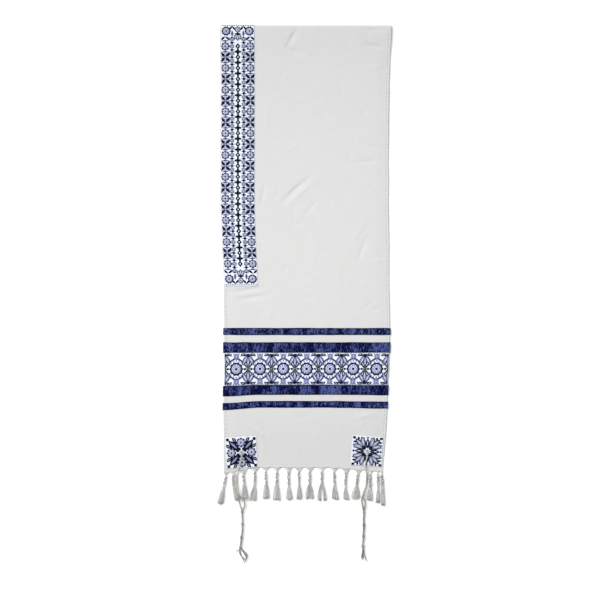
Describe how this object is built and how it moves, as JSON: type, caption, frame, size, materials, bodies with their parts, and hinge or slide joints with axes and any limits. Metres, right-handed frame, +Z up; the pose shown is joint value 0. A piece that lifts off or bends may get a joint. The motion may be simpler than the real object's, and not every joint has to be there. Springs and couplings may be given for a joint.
{
  "type": "tallit prayer shawl",
  "caption": "Narrow woven prayer shawl folded in two and lying flat, with an embroidered neckband, a ribboned border, corner patches, knotted corner cords and a twisted fringe",
  "frame": {"origin": "middle of the flat underside, at floor height, halfway between the fringed hem and the fold", "axes": "+Y from the fringed hem to the fold, along the shawl; +X across it, towards the side without the neckband; +Z up, out of the face"},
  "size_m": [0.3907, 1.2135, 0.0107],
  "materials": {
    "woven_cloth": "off-white plain weave, matt, softly creased",
    "embroidered_ground": "pale ground covered with satin-stitch embroidery in navy, lavender blue and grey",
    "navy_silk": "crinkled navy silk ribbon with a low sheen",
    "corner_thread": "off-white plied wool thread, matt",
    "warp_fringe": "off-white loose warp threads, matt"
  },
  "bodies": {
    "root": {"cloth_panel": "woven_cloth", "atara": "embroidered_ground", "ribbon_narrow_lower": "navy_silk", "ribbon_wide_lower": "navy_silk", "embroidered_band": "embroidered_ground", "ribbon_wide_upper": "navy_silk", "ribbon_narrow_upper": "navy_silk", "corner_patch_left": "embroidered_ground", "corner_patch_right": "embroidered_ground", "eyelet_left": "corner_thread", "eyelet_right": "corner_thread", "tzitzit_left": "corner_thread", "tzitzit_right": "corner_thread", "tassel_01": "warp_fringe", "tassel_02": "warp_fringe", "tassel_03": "warp_fringe", "tassel_04": "warp_fringe", "tassel_05": "warp_fringe", "tassel_06": "warp_fringe", "tassel_07": "warp_fringe", "tassel_08": "warp_fringe", "tassel_09": "warp_fringe", "tassel_10": "warp_fringe", "tassel_11": "warp_fringe", "tassel_12": "warp_fringe", "tassel_13": "warp_fringe", "tassel_14": "warp_fringe", "tassel_15": "warp_fringe", "tassel_16": "warp_fringe"}
  },
  "joints": []
}
